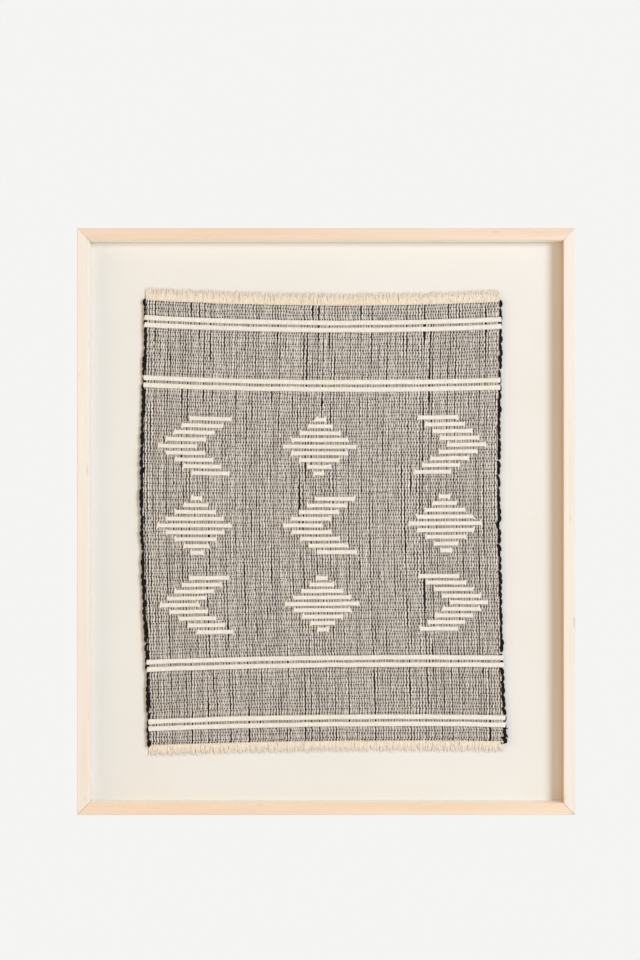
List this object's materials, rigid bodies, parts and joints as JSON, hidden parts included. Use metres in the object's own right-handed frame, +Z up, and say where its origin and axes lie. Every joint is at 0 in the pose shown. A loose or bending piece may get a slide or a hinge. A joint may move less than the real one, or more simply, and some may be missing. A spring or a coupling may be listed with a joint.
{
  "type": "handwoven ribbed cloth in a wooden box frame",
  "caption": "Handwoven ribbed cloth with raised white weft bars in stripes, diamonds and chevrons, cut fringe at top and bottom, set on an off-white board in a deep mitred maple frame.",
  "frame": {"origin": "middle of the flat back of the frame, where it lies against the wall", "axes": "+X to the right as seen from the front, +Y into the wall, +Z up; the front faces -Y"},
  "size_m": [0.61, 0.045, 0.718],
  "materials": {
    "cloth": "ribbed cotton weave, cream warp over black weft, with cream-white roving bars",
    "fringe": "cut natural cotton warp ends",
    "board": "matt off-white",
    "maple": "satin clear finish on pale maple",
    "panel": "plain hardboard"
  },
  "bodies": {
    "root": {"cloth": "cloth", "fringe_top": "fringe", "fringe_bottom": "fringe", "mount_board": "board", "rail_top": "maple", "rail_bottom": "maple", "stile_left": "maple", "stile_right": "maple", "back_panel": "panel"}
  },
  "joints": []
}
